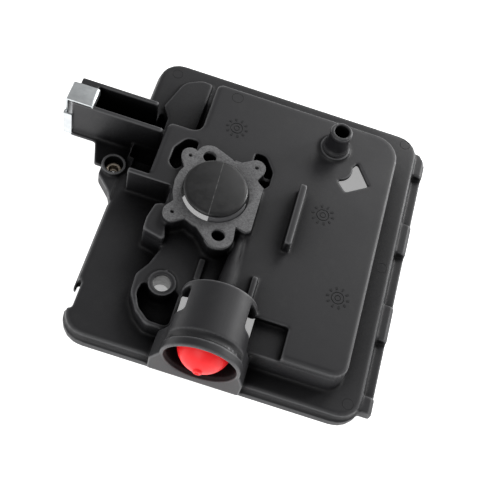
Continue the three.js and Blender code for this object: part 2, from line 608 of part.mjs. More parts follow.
function bulbFlange() {
  const { inner, outer, front } = BULB_WALL;
  return turnedY(PRIMER.x, PRIMER.z, [
    [inner, front], [outer, front], [outer, BULB_FLANGE.front], [BULB_FLANGE.radius, BULB_FLANGE.front],
    [BULB_FLANGE.radius, BULB_FLANGE.back], [inner, BULB_FLANGE.back], [inner, front],
  ], 36);
}

function bulbRetainer() {
  const { inner, outer, front, back } = RETAINER;
  return turnedY(PRIMER.x, PRIMER.z,
    [[inner, front], [outer, front], [outer, back], [inner, back], [inner, front]], 36);
}

// ---------------------------------------------------------------- throat, breather and bush

function gasket() {
  const { bottom, top } = GASKET;
  return cut(
    gasketOutlineSolid(bottom, top),
    rodZ(THROAT.x, THROAT.y, THROAT.bore, bottom - 1, top + 1, 24),
    ...BOLTS.map(([x, y]) => rodZ(x, y, BOLT_HOLE, bottom - 1, top + 1)),
    ...EARS.map(([x, y]) => rodZ(x, y, EAR_HOLE, bottom - 1, top + 1, 6)));
}

// Mushroom in the air throat: a domed disc over the bore on one curved leg with a foot ring.
function throatBaffle() {
  const { x, y, radius, bottom, top, crown } = BAFFLE;
  const disc = turnedZ(x, y, [
    [0, bottom], [radius - 1.2, bottom], [radius - 0.3, bottom + 0.5], [radius, bottom + 1.1],
    [radius - 0.5, top - 0.3], [radius - 1.6, top + 0.1], [radius * 0.6, crown - 0.3], [0, crown],
  ], 48);
  const { inner, outer, from, to } = BAFFLE_LEG;
  const leg = prismZ(ringSector(THROAT.x, THROAT.y, inner, outer, from, to), BAFFLE_RING.bottom, bottom + 0.5, 10);
  const ring = cut(
    rodZ(THROAT.x, THROAT.y, BAFFLE_RING.outer, BAFFLE_RING.bottom, BAFFLE_RING.top, 20),
    rodZ(THROAT.x, THROAT.y, BAFFLE_RING.inner, BAFFLE_RING.bottom - 1, BAFFLE_RING.top + 1, 20));
  const bridge = prismZ(ringSector(THROAT.x, THROAT.y, inner, BAFFLE_RING.outer - 0.5, from, to),
    BAFFLE_RING.bottom, BAFFLE_RING.top, 10);
  const boltWays = BOLTS.map(([bx, by]) => rodZ(bx, by, BOLT_HOLE + GAP, DEEP, TUBE_BOTTOM));
  return cut(join(disc, leg, ring, bridge), ...boltWays);
}

function breatherSpigot() {
  const { x, y, bore, top, tube, foot, plug } = SPIGOT;
  const seat = COLLAR.top + GAP;
  return turnedZ(x, y, [
    [bore, 10.5], [plug, 10.5], [plug, seat], [foot, seat], [foot, seat + 1.6], [tube + 0.2, seat + 4.4],
    [tube, top - 2.6], [tube + 0.35, top - 1.8], [tube + 0.3, top - 0.6], [tube - 0.4, top],
    [bore + 0.4, top], [bore, top - 0.4], [bore, 10.5],
  ], 32);
}

function bossBush() {
  const { outer, inner, bottom, top } = BUSH;
  return cut(rodZ(BOSS_B.x, BOSS_B.y, outer, bottom, top), rodZ(BOSS_B.x, BOSS_B.y, inner, bottom - 1, top + 1));
}

// ---------------------------------------------------------------- assembly

const housing = new THREE.Group();
const moulding = filterTray();
Object.entries(LAYERS).forEach(([name, [bottom, top]]) => {
  const layer = moulding.intersect(block(-20, 150, -20, 170, bottom, top));
  housing.add(piece(name, layer, blackPlastic));
});
housing.add(
  piece('support_arm', supportArm(), blackPlastic),
  piece('primer_housing', primerHousing(), blackPlastic),
  piece('carburettor_gasket', gasket(), greyGasket),
  piece('throat_baffle', throatBaffle(), blackPlastic),
  piece('primer_bulb_dome', bulbDome(), redRubber),
  piece('primer_bulb_flange', bulbFlange(), redRubber),
  piece('primer_retainer_ring', bulbRetainer(), blackPlastic),
  piece('breather_spigot', breatherSpigot(), blackPlastic),
  piece('spring_clip', springClip(), zinc),
  piece('threaded_insert', threadedInsert(), brass),
  piece('boss_bush', bossBush(), steel),
);

const extent = new THREE.Box3().setFromObject(housing);
const middle = extent.getCenter(new THREE.Vector3());
housing.position.set(-middle.x, -middle.y, -extent.min.z);

export default housing;
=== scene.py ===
"""Looks of a small engine's air filter housing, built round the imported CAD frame.

Places are in millimetres from the plate's front left corner, with z = 0 on top of the plate,
and place() turns them into metres in the shared frame.
"""

import math

import bmesh
import bpy
from mathutils import Matrix, Vector


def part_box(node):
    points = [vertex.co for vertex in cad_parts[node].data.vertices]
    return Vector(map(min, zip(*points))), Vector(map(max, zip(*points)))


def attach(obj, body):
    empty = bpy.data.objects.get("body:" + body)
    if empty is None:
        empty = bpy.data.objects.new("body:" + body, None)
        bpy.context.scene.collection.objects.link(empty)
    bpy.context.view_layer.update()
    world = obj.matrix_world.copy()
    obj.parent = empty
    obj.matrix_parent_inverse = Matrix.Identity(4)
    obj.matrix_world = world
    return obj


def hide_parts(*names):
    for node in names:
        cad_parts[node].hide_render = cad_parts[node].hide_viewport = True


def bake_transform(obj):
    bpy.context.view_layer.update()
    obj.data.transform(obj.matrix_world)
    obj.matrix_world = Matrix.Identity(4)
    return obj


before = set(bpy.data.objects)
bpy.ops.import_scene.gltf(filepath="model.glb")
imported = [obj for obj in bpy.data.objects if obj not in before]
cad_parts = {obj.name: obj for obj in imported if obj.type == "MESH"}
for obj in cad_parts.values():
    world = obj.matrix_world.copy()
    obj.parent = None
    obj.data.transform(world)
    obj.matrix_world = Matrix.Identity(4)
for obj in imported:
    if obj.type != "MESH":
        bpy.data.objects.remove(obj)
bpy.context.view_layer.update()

# ---------------------------------------------------------------- shared frame

MM = 0.001
RIM_OVERHANG = Vector((0.8, 1.8, 8.0)) * MM  # the rim's box starts this far before the plate's corner
PLATE_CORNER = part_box("tray_rim")[0] + RIM_OVERHANG
HOUSING = "housing"


def place(x, y, z):
    return PLATE_CORNER + Vector((x, y, z)) * MM


# ---------------------------------------------------------------- driving dimensions, in mm

PRIMER_X, PRIMER_Z = 60.0, 18.0
THROAT_X, THROAT_Y = 44.2, 72.7
BAFFLE_X, BAFFLE_Y = 44.0, 72.1
BOSS_A = (-3.9, 81.9)
BOSS_B = (34.9, 28.7)
SPIGOT = (89.1, 117.4)
PLATFORM_TOP = 16.0
PLATE_TOP = 0.0

MOUTH_RADIUS = 14.3
MOUTH_FRONT, MOUTH_BACK = -5, 4.6
GROOVE_FLOOR_INNER, GROOVE_FLOOR_OUTER = 13.6, 15.3
GROOVE_FLOOR_FRONT, GROOVE_FLOOR_BACK = -0.6, 4.2
BUSH_INNER, BUSH_OUTER = 3.6, 4.4
BUSH_BOTTOM, BUSH_TOP = 0.7, 9.35

SHAFT_FRONT = 13
SHAFT_BOTTOM = -9
LEFT_SHAFT = {"left": 44.6, "right": 49, "back": 27, "top": 13.9}
RIGHT_SHAFT = {"left": 71, "right": 76, "back": 29, "top": 13.6}

BULB_RADIUS = 11.3
BULB_INNER_RADIUS = 9.9
BULB_MIDDLE = 4.2  # along Y, the centre of the dome's curve

CLIP_WIDTH = 10.3
CLIP_FAR = 108
CLIP_SHEET = 0.95
CLIP_BEND = 1.5

CAVITY_REACH = 30  # how far the painted cavity shade looks for the piece's own walls

VOXEL = 0.42 * MM
SEAM_CLOSE = 0.2 * MM
SMOOTH_PASSES = 5

# ---------------------------------------------------------------- mesh helpers


def link(name, mesh):
    piece = bpy.data.objects.new(name, mesh)
    bpy.context.scene.collection.objects.link(piece)
    return piece


def finished(piece, smooth_angle=None):
    """Applies the piece's modifiers and shades it smooth, but for edges sharper than smooth_angle."""
    graph = bpy.context.evaluated_depsgraph_get()
    mesh = bpy.data.meshes.new_from_object(piece.evaluated_get(graph))
    piece.modifiers.clear()
    piece.data = mesh
    mesh.name = piece.name
    mesh.shade_smooth()
    if smooth_angle is not None:
        mesh.set_sharp_from_angle(angle=math.radians(smooth_angle))
    return piece


def welded_copy(name, node):
    """A copy of a CAD node with its shared corners joined."""
    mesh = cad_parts[node].data.copy()
    mesh.materials.clear()
    shape = bmesh.new()
    shape.from_mesh(mesh)
    bmesh.ops.remove_doubles(shape, verts=shape.verts, dist=1e-7)
    shape.to_mesh(mesh)
    shape.free()
    return link(name, mesh)


def round_corners(points, radius, steps=4):
    """A closed outline with each corner rounded by at most radius. Corners on the axis stay."""
    outline = []
    count = len(points)
    for i, corner in enumerate(points):
        here = Vector(corner)
        before = Vector(points[i - 1]) - here
        after = Vector(points[(i + 1) % count]) - here
        if here.x == 0 or before.length == 0 or after.length == 0:
            outline.append(here)
            continue
        reach = min(radius, 0.45 * before.length, 0.45 * after.length)
        start = here + before.normalized() * reach
        end = here + after.normalized() * reach
        for k in range(steps + 1):
            t = k / steps
            outline.append(start * (1 - t) ** 2 + here * (2 * t * (1 - t)) + end * t ** 2)
    return outline


def lathe(name, outline, centre, along, steps=96):
    """A turned piece: outline is a closed half profile of (radius, distance along the axis)."""
    side = Vector((1, 0, 0))
    up = along.cross(side)
    vertices = []
    for k in range(steps):
        angle = 2 * math.pi * k / steps
        spoke = side * math.cos(angle) + up * math.sin(angle)
        vertices += [centre + (spoke * point[0] + along * point[1]) * MM for point in outline]
    ring = len(outline)
    faces = []
    for k in range(steps):
        here = k * ring
        there = ((k + 1) % steps) * ring
        for i in range(ring):
            j = (i + 1) % ring
            faces.append((here + i, there + i, there + j, here + j))
    mesh = bpy.data.meshes.new(name)
    mesh.from_pydata(vertices, [], faces)
    shape = bmesh.new()
    shape.from_mesh(mesh)
    bmesh.ops.remove_doubles(shape, verts=shape.verts, dist=1e-7)
    bmesh.ops.dissolve_degenerate(shape, edges=shape.edges, dist=1e-7)
    bmesh.ops.recalc_face_normals(shape, faces=shape.faces)
    shape.to_mesh(mesh)
    shape.free()
    mesh.shade_smooth()
    return link(name, mesh)


UPRIGHT = Vector((0, 0, 1))
ALONG_TRAY = Vector((0, 1, 0))
ACROSS_TRAY = Vector((1, 0, 0))


def extruded(name, outline, origin, first, second, depth):
    """A prism of a closed outline drawn on the axes first and second, depth long across them."""
    across = first.cross(second)
    near = [origin + (first * p[0] + second * p[1]) * MM for p in outline]
    far = [point + across * depth * MM for point in near]
    count = len(outline)
    faces = [tuple(range(count))[::-1], tuple(range(count, 2 * count))]
    faces += [(i, (i + 1) % count, count + (i + 1) % count, count + i) for i in range(count)]
    mesh = bpy.data.meshes.new(name)
    mesh.from_pydata(near + far, [], faces)
    shape = bmesh.new()
    shape.from_mesh(mesh)
    bmesh.ops.recalc_face_normals(shape, faces=shape.faces)
    shape.to_mesh(mesh)
    shape.free()
    return link(name, mesh)


def bevelled(piece, width, segments=3, angle=40):
    bevel = piece.modifiers.new("edge", "BEVEL")
    bevel.width = width * MM
    bevel.segments = segments
    bevel.limit_method = "ANGLE"
    bevel.angle_limit = math.radians(angle)
    return finished(piece, smooth_angle=35)


# ---------------------------------------------------------------- materials

SCRATCH_ANGLE = -88  # degrees from +X
SCRATCH_WIDTH = 0.22  # mm


class Shader:
    """Short names for building one node material."""

    def __init__(self, name):
        self.material = bpy.data.materials.new(name)
        self.material.use_nodes = True
        self.tree = self.material.node_tree
        self.surface = self.tree.nodes["Principled BSDF"]
        self.place = self.add("ShaderNodeTexCoord").outputs["Object"]

    def add(self, kind, **settings):
        node = self.tree.nodes.new(kind)
        for key, value in settings.items():
            setattr(node, key, value)
        return node

    def join(self, output, socket):
        self.tree.links.new(output, socket)

    def noise(self, grain_mm, detail=4.0, roughness=0.55, stretch=(1, 1, 1)):
        """Noise whose grains are about grain_mm across, from 0 to 1."""
        mapping = self.add("ShaderNodeMapping")
        mapping.inputs["Scale"].default_value = stretch
        self.join(self.place, mapping.inputs["Vector"])
        node = self.add("ShaderNodeTexNoise")
        node.inputs["Scale"].default_value = 1 / (grain_mm * MM)
        node.inputs["Detail"].default_value = detail
        node.inputs["Roughness"].default_value = roughness
        self.join(mapping.outputs["Vector"], node.inputs["Vector"])
        return node.outputs["Fac"]

    def ramp(self, value, low, high, out_low=0.0, out_high=1.0):
        node = self.add("ShaderNodeMapRange")
        node.inputs["From Min"].default_value = low
        node.inputs["From Max"].default_value = high
        node.inputs["To Min"].default_value = out_low
        node.inputs["To Max"].default_value = out_high
        self.join(value, node.inputs["Value"])
        return node.outputs["Result"]

    def mix(self, factor, first, second):
        """Two colours, or outputs that hold colours, blended by a factor."""
        node = self.add("ShaderNodeMix", data_type="RGBA")
        self.join(factor, node.inputs["Factor"])
        for value, socket in ((first, node.inputs[6]), (second, node.inputs[7])):
            if isinstance(value, tuple):
                socket.default_value = (*value, 1)
            else:
                self.join(value, socket)
        return node.outputs[2]

    def math(self, operation, first, second):
        node = self.add("ShaderNodeMath", operation=operation)
        for value, socket in ((first, node.inputs[0]), (second, node.inputs[1])):
            if isinstance(value, (int, float)):
                socket.default_value = value
            else:
                self.join(value, socket)
        return node.outputs[0]

    def bump(self, height, depth_mm, strength=1.0, below=None):
        node = self.add("ShaderNodeBump")
        node.inputs["Strength"].default_value = strength
        node.inputs["Distance"].default_value = depth_mm * MM
        self.join(height, node.inputs["Height"])
        if below is not None:
            self.join(below, node.inputs["Normal"])
        return node.outputs["Normal"]

    def convex(self, low, high):
        """0 on flats and 1 on outer edges."""
        return self.ramp(self.add("ShaderNodeNewGeometry").outputs["Pointiness"], low, high)

    def openness(self, reach_mm):
        """0 deep inside the piece's own cavities and 1 on open faces."""
        node = self.add("ShaderNodeAmbientOcclusion", samples=4, only_local=True)
        node.inputs["Distance"].default_value = reach_mm * MM
        return node.outputs["AO"]

    def wear(self, colour=None, roughness=None, normal=None, metallic=0.0, specular=0.5):
        sockets = self.surface.inputs
        for value, name in ((colour, "Base Color"), (roughness, "Roughness"), (normal, "Normal")):
            if value is not None:
                self.join(value, sockets[name])
        sockets["Metallic"].default_value = metallic
        sockets["Specular IOR Level"].default_value = specular
        return self.material


def black_plastic():
    """Moulded plastic: dusty, pale on its edges from rubbing and a painted highlight, and with painted shade
    darkening its creases and cavities.
    """
    s = Shader("moulded_black_plastic")
    # painted shade: near-black colour for the piece's deep cavities
    painted_cavity_shade = (0.002, 0.002, 0.0022)
    # pale edge colour: a painted highlight together with some rubbing wear
    rubbed_and_highlight = (0.13, 0.13, 0.135)
    patches = s.noise(26, detail=3)
    grain = s.noise(0.55, detail=5, roughness=0.7)
    dust = s.ramp(s.noise(5, detail=8, roughness=0.7), 0.52, 0.78)
    body = s.mix(s.ramp(patches, 0.3, 0.7), (0.0085, 0.0083, 0.0102), (0.0135, 0.0133, 0.0155))
    dusty = s.mix(s.math("MULTIPLY", dust, 0.3), body, (0.03, 0.03, 0.029))
    # painted highlight with some rubbing wear: outer edges turn pale
    edge = s.convex(0.506, 0.535)
    # painted shade: creases and inner corners darken to near black
    crease_shade_mask = s.convex(0.494, 0.465)
    crease_shaded = s.mix(s.math("MULTIPLY", crease_shade_mask, 0.8), dusty, (0.002, 0.002, 0.002))
    colour = s.mix(s.math("MULTIPLY", edge, 0.85), crease_shaded, rubbed_and_highlight)
    rough = s.math("ADD", s.ramp(patches, 0.3, 0.7, 0.44, 0.54), s.ramp(grain, 0.3, 0.7, -0.05, 0.07))
    normal = s.bump(grain, 0.035, 0.55)
    normal = s.bump(patches, 0.25, 0.35, normal)
    # painted shade: cavities darken towards near black by ambient occlusion, and their reflections are
    # weakened
    opened = s.ramp(s.openness(CAVITY_REACH), 0.42, 0.86)
    colour = s.mix(opened, painted_cavity_shade, colour)
    rough = s.math("ADD", rough, s.ramp(opened, 0, 1, 0.4, 0))
    material = s.wear(colour, rough, normal)
    s.join(s.ramp(opened, 0, 1, 0.02, 0.5), s.surface.inputs["Specular IOR Level"])
    return material


def scratched_disc():
    """The black plastic of the disc, scuffed and with one long scratch across it."""
    s = Shader("scuffed_black_plastic")
    scuff = s.ramp(s.noise(3.5, detail=7, roughness=0.7), 0.42, 0.72)
    grain = s.noise(0.5, detail=5, roughness=0.7)
    body = s.mix(s.math("MULTIPLY", scuff, 0.6), (0.004, 0.004, 0.0046), (0.015, 0.015, 0.016))
    split = s.add("ShaderNodeSeparateXYZ")
    s.join(s.place, split.inputs["Vector"])
    centre = place(BAFFLE_X, BAFFLE_Y, 0)
    lean = math.radians(SCRATCH_ANGLE)
    along = s.math("ADD", s.math("MULTIPLY", split.outputs["X"], math.sin(lean)),
                   s.math("MULTIPLY", split.outputs["Y"], -math.cos(lean)))
    offset = centre.x * math.sin(lean) - centre.y * math.cos(lean)
    distance = s.math("ABSOLUTE", s.math("SUBTRACT", along, offset), 0)
    line = s.ramp(distance, SCRATCH_WIDTH * MM / 2, SCRATCH_WIDTH * MM, 1, 0)
    broken = s.ramp(s.noise(2.2, detail=3), 0.4, 0.6, 0.15, 1)
    colour = s.mix(s.math("MULTIPLY", line, broken), body, (0.10, 0.10, 0.10))
    rough = s.ramp(scuff, 0, 1, 0.38, 0.55)
    return s.wear(colour, rough, s.bump(grain, 0.03, 0.4))


def polished_mark():
    """The moulding's plastic where the mould's inserts left it smoother and darker."""
    s = Shader("polished_mould_mark")
    cloud = s.noise(2, detail=4)
    # painted highlight: the marks' raised edges turn pale
    edge = s.convex(0.52, 0.6)
    body = s.mix(cloud, (0.002, 0.002, 0.0025), (0.006, 0.006, 0.0065))
    colour = s.mix(s.math("MULTIPLY", edge, 0.5), body, (0.04, 0.04, 0.042))
    return s.wear(colour, s.ramp(cloud, 0.3, 0.7, 0.5, 0.7), s.bump(cloud, 0.02, 0.3), specular=0.25)


def grey_gasket():
    s = Shader("grey_fibre_gasket")
    fibre = s.noise(0.75, detail=8, roughness=0.85, stretch=(1, 1.5, 1))
    speck = s.ramp(s.noise(1.1, detail=6, roughness=0.8), 0.48, 0.66)
    body = s.mix(s.ramp(fibre, 0.3, 0.7), (0.05, 0.05, 0.052), (0.30, 0.30, 0.305))
    colour = s.mix(s.math("MULTIPLY", speck, 0.5), body, (0.04, 0.04, 0.042))
    rough = s.ramp(fibre, 0.3, 0.7, 0.75, 0.9)
    return s.wear(colour, rough, s.bump(fibre, 0.06, 0.7), specular=0.3)


def red_rubber():
    s = Shader("red_rubber")
    cloud = s.noise(6, detail=3)
    grain = s.noise(0.4, detail=4)
    colour = s.mix(s.ramp(cloud, 0.3, 0.7), (0.90, 0.010, 0.014), (0.97, 0.018, 0.022))
    rough = s.ramp(grain, 0.3, 0.7, 0.34, 0.46)
    s.surface.inputs["Subsurface Weight"].default_value = 0.25
    s.surface.inputs["Subsurface Radius"].default_value = (0.004, 0.0008, 0.0006)
    s.surface.inputs["Subsurface Scale"].default_value = 0.5
    # painted glow: the rubber gives off a little of its own red light, though it is no lamp
    s.join(colour, s.surface.inputs["Emission Color"])
    s.surface.inputs["Emission Strength"].default_value = 0.12
    return s.wear(colour, rough, s.bump(grain, 0.02, 0.3), specular=0.3)


def zinc_sheet():
    s = Shader("zinc_sheet")
    rolled = s.noise(1.2, detail=6, roughness=0.6, stretch=(0.15, 2.2, 1))
    spangle = s.noise(3, detail=2)
    # painted highlight: folds and outer edges turn paler
    edge = s.convex(0.51, 0.56)
    body = s.mix(s.ramp(spangle, 0.35, 0.65), (0.50, 0.53, 0.545), (0.62, 0.65, 0.66))
    colour = s.mix(s.math("MULTIPLY", edge, 0.4), body, (0.85, 0.87, 0.88))
    rough = s.ramp(rolled, 0.3, 0.7, 0.28, 0.42)
    return s.wear(colour, rough, s.bump(rolled, 0.03, 0.35), metallic=1.0)


def turned_brass():
    s = Shader("turned_brass")
    rings = s.noise(0.35, detail=2, stretch=(0.2, 0.2, 4))
    tarnish = s.ramp(s.noise(1.6, detail=6), 0.4, 0.7)
    colour = s.mix(tarnish, (0.36, 0.31, 0.25), (0.20, 0.17, 0.14))
    rough = s.ramp(rings, 0.3, 0.7, 0.25, 0.45)
    return s.wear(colour, rough, s.bump(rings, 0.03, 0.4), metallic=1.0)


def turned_steel():
    s = Shader("turned_steel")
    rings = s.noise(0.4, detail=3, stretch=(0.2, 0.2, 3))
    stain = s.ramp(s.noise(1.8, detail=5), 0.42, 0.7)
    colour = s.mix(stain, (0.42, 0.42, 0.42), (0.3, 0.3, 0.3))
    rough = s.ramp(rings, 0.3, 0.7, 0.3, 0.5)
    return s.wear(colour, rough, s.bump(rings, 0.02, 0.4), metallic=1.0)


BLACK = black_plastic()
DISC = scratched_disc()
MARK = polished_mark()
GASKET = grey_gasket()
RED = red_rubber()
ZINC = zinc_sheet()
BRASS = turned_brass()
STEEL = turned_steel()


def belongs(piece, material, replaced=(), body=HOUSING):
    """Gives a piece its material, its body and the CAD nodes that it stands for."""
    piece.data.materials.clear()
    piece.data.materials.append(material)
    if body is not None:
        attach(piece, body)
    if replaced:
        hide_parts(*replaced)
    return piece


# ---------------------------------------------------------------- the moulding


def swelled(piece, distance):
    swell = piece.modifiers.new("swell", "DISPLACE")
    swell.strength = distance
    swell.mid_level = 0


def remeshed(piece, voxel):
    remesh = piece.modifiers.new("remesh", "REMESH")
    remesh.mode = "VOXEL"
    remesh.voxel_size = voxel


def joined(name, pieces):
    shape = bmesh.new()
    for piece in pieces:
        shape.from_mesh(piece.data)
        bpy.data.objects.remove(piece)
    mesh = bpy.data.meshes.new(name)
    shape.to_mesh(mesh)
    shape.free()
    return link(name, mesh)


def bush_lip():
    """Plastic lip that is moulded over the top of the steel bush."""
    outline = [(3.45, 9.5), (5.4, 9.5), (5.4, 10.5), (4.0, 10.5), (3.6, 10.4), (3.45, 10.1)]
    return lathe("bush_lip", outline, place(*BOSS_B, 0), UPRIGHT, 64)


def groove_floor():
    """Band that leaves the groove round the primer's front shallow enough for a wide mouth."""
    outline = [
        (GROOVE_FLOOR_INNER, GROOVE_FLOOR_FRONT), (GROOVE_FLOOR_OUTER, GROOVE_FLOOR_FRONT),
        (GROOVE_FLOOR_OUTER, GROOVE_FLOOR_BACK), (GROOVE_FLOOR_INNER, GROOVE_FLOOR_BACK),
    ]
    return lathe("groove_floor", outline, place(PRIMER_X, 0, PRIMER_Z), ALONG_TRAY, 96)


def primer_mouth():
    """Cutter of the primer's straight mouth."""
    outline = [(0, MOUTH_FRONT), (MOUTH_RADIUS, MOUTH_FRONT), (MOUTH_RADIUS, MOUTH_BACK), (0, MOUTH_BACK)]
    return lathe("primer_mouth", outline, place(PRIMER_X, 0, PRIMER_Z), ALONG_TRAY, 96)


def snap_shaft(left, right, back, top):
    """Cutter of one of the open shafts beside the primer, which go right through the tray."""
    outline = [(left, SHAFT_FRONT), (right, SHAFT_FRONT), (right, back), (left, back)]
    return extruded("snap_shaft", outline, place(0, 0, SHAFT_BOTTOM), ACROSS_TRAY, ALONG_TRAY,
                    top - SHAFT_BOTTOM)


def carved(piece, cutters):
    """Cuts the cutters out of the piece, in turn, and removes them."""
    for cutter in cutters:
        carve = piece.modifiers.new("carve", "BOOLEAN")
        carve.operation = "DIFFERENCE"
        carve.object = cutter
        carve.solver = "EXACT"
    finished(piece)
    for cutter in cutters:
        bpy.data.objects.remove(cutter)


def moulding():
    """The tray, arm and primer housing as the one moulding that they are, with softened edges."""
    nodes = ("tray_rim", "tray_plate", "air_box_walls", "air_box_roof", "support_arm", "primer_housing")
    parts = []
    for node in nodes:
        part = welded_copy("part_of_moulding", node)
        remeshed(part, VOXEL)
        swelled(part, SEAM_CLOSE)
        parts.append(finished(part))
    parts += [bush_lip(), groove_floor()]
    whole = joined("housing_moulding", parts)
    remeshed(whole, VOXEL)
    finished(whole)
    carved(whole, (primer_mouth(), snap_shaft(**LEFT_SHAFT), snap_shaft(**RIGHT_SHAFT)))
    remeshed(whole, VOXEL)
    swelled(whole, -SEAM_CLOSE)
    smooth = whole.modifiers.new("smooth", "SMOOTH")
    smooth.factor = 0.5
    smooth.iterations = SMOOTH_PASSES
    finished(whole)
    return belongs(whole, BLACK, nodes)


# ---------------------------------------------------------------- primer


def primer_bulb():
    """Soft bulb: a dome with a nipple, a skirt and the flange that its bore holds."""
    outside = [(0, -7.4), (0.8, -7.45), (1.1, -7.95), (1.6, -7.95), (2.0, -7.6), (2.1, -7.1), (2.2, -6.9)]
    first_angle = 13  # where the nipple meets the dome
    steps = 14
    for k in range(steps + 1):
        angle = math.radians(first_angle + (90 - first_angle) * k / steps)
        outside.append((BULB_RADIUS * math.sin(angle), BULB_MIDDLE - BULB_RADIUS * math.cos(angle)))
    outside += [(11.35, 6), (11.7, 8), (12.2, 9.6), (13.2, 10.3), (13.4, 10.7), (13.4, 11.7), (13.1, 12)]
    inside = [(10.3, 12), (10.0, 6), (BULB_INNER_RADIUS, BULB_MIDDLE)]
    inner_steps = 8
    for k in range(1, inner_steps + 1):
        angle = math.radians(90 - 90 * k / inner_steps)
        depth = BULB_MIDDLE - BULB_INNER_RADIUS * math.cos(angle)
        inside.append((BULB_INNER_RADIUS * math.sin(angle), depth))
    inside[-1] = (0, inside[-1][1])
    centre = place(PRIMER_X, 0, PRIMER_Z)
    bulb = lathe("primer_bulb_skin", outside + inside, centre, ALONG_TRAY, 128)
    belongs(bulb, RED, ("primer_bulb_dome", "primer_bulb_flange"), body=None)
    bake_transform(bulb)
    return bulb


def primer_ring():
    """The retainer ring keeps its CAD shape and takes the black plastic."""
    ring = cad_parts["primer_retainer_ring"]
    ring.data.materials.clear()
    ring.data.materials.append(BLACK)


# ---------------------------------------------------------------- throat and breather


def gasket():
    piece = welded_copy("gasket_sheet", "carburettor_gasket")
    bevelled(piece, 0.18, 2)
    return belongs(piece, GASKET, ("carburettor_gasket",))


def baffle_profile():
    """Half profile of the disc: a shallow crown that rolls over into the edge."""
    radius, crown, sag = 14.0, 26.2, 0.75
    top = []
    steps = 16
    for k in range(steps + 1):
        reach = (radius - 1.1) * k / steps
        top.append((reach, crown - sag * (reach / radius) ** 2))
    edge = [(13.5, 25.2), (13.9, 24.7), (14.0, 24.2), (13.9, 23.7), (13.4, 23.3), (12.8, 23.2), (0, 23.2)]
    return top + edge


def ring_sector(inner, outer, start, end, steps=28):
    """Closed outline of part of a ring between two angles in degrees."""
    angles = [math.radians(start + (end - start) * k / steps) for k in range(steps + 1)]
    near = [(inner * math.cos(a), inner * math.sin(a)) for a in angles]
    return near + [(outer * math.cos(a), outer * math.sin(a)) for a in reversed(angles)]


def throat_baffle():
    """Mushroom over the bore: a turned disc on one curved leg, with a foot ring below."""
    disc = lathe("baffle_disc", baffle_profile(), place(BAFFLE_X, BAFFLE_Y, 0), UPRIGHT, 160)
    axis = place(THROAT_X, THROAT_Y, 0)
    foot_bottom = -0.6
    base = axis + UPRIGHT * foot_bottom * MM
    leg = extruded("baffle_leg", ring_sector(11.5, 14.3, -88, -12), base, ACROSS_TRAY, ALONG_TRAY, 24.4)
    bevelled(leg, 0.25, 2, angle=50)
    section = [(14.9, foot_bottom), (17.2, foot_bottom), (17.2, 1.7), (14.9, 1.7)]
    foot = lathe("baffle_foot", round_corners(section, 0.4), axis, UPRIGHT, 96)
    bridge = extruded("baffle_bridge", ring_sector(14.0, 15.4, -88, -32), base, ACROSS_TRAY, ALONG_TRAY, 2.3)
    for piece, material in ((disc, DISC), (leg, BLACK), (foot, BLACK), (bridge, BLACK)):
        belongs(piece, material, ("throat_baffle",))


def breather_spigot():
    outline = round_corners([
        (3.2, 10.6), (5.0, 10.6), (5.0, 17.9), (6.0, 17.9), (6.0, 19.2), (5.3, 20.4), (4.95, 22.2),
        (4.75, 27.6), (5.05, 28.4), (5.0, 29.5), (4.4, 30.2), (3.6, 30.2), (3.2, 29.7),
    ], 0.5)
    spigot = lathe("breather_spigot_tube", outline, place(*SPIGOT, 0), UPRIGHT, 96)
    return belongs(spigot, BLACK, ("breather_spigot",))


# ---------------------------------------------------------------- metal pieces


def threaded_insert():
    """Brass insert: a flanged sleeve whose bore carries thread grooves."""
    outline = [(3.0, -6.6), (3.0, -2.75), (3.85, -2.7), (3.88, -2.5), (3.7, -2.42), (2.3, -2.42), (1.9, -2.8)]
    pitch = 0.5
    turns = 7
    for k in range(turns):
        top = -3.0 - k * pitch
        outline += [(2.0, top), (1.72, top - pitch / 2)]
    outline += [(2.0, -6.6)]
    insert = lathe("brass_insert", outline, place(*BOSS_A, 0), UPRIGHT, 72)
    return belongs(insert, BRASS, ("threaded_insert",))


def boss_bush():
    section = [
        (BUSH_INNER, BUSH_BOTTOM), (BUSH_OUTER, BUSH_BOTTOM), (BUSH_OUTER, BUSH_TOP), (BUSH_INNER, BUSH_TOP),
    ]
    outline = round_corners(section, 0.2)
    bush = lathe("steel_bush", outline, place(*BOSS_B, 0), UPRIGHT, 96)
    return belongs(bush, STEEL, ("boss_bush",))


def bent_path(points, radius, steps=6):
    """An open path with the corners between its ends rounded, each over radius mm on both sides."""
    line = [Vector(points[0])]
    for i in range(1, len(points) - 1):
        here = Vector(points[i])
        start = here + (Vector(points[i - 1]) - here).normalized() * radius
        end = here + (Vector(points[i + 1]) - here).normalized() * radius
        for k in range(steps + 1):
            t = k / steps
            line.append(start * (1 - t) ** 2 + here * (2 * t * (1 - t)) + end * t ** 2)
    line.append(Vector(points[-1]))
    return line


def sheet_outline(path, thickness, bend):
    """The closed outline of folded sheet whose outer face follows path, with rounded bends."""
    outer = bent_path(path, bend)
    inner = []
    for i, point in enumerate(outer):
        ahead = outer[min(i + 1, len(outer) - 1)] - outer[max(i - 1, 0)]
        ahead.normalize()
        inner.append(point + Vector((ahead.y, -ahead.x)) * thickness)
    return outer + inner[::-1]


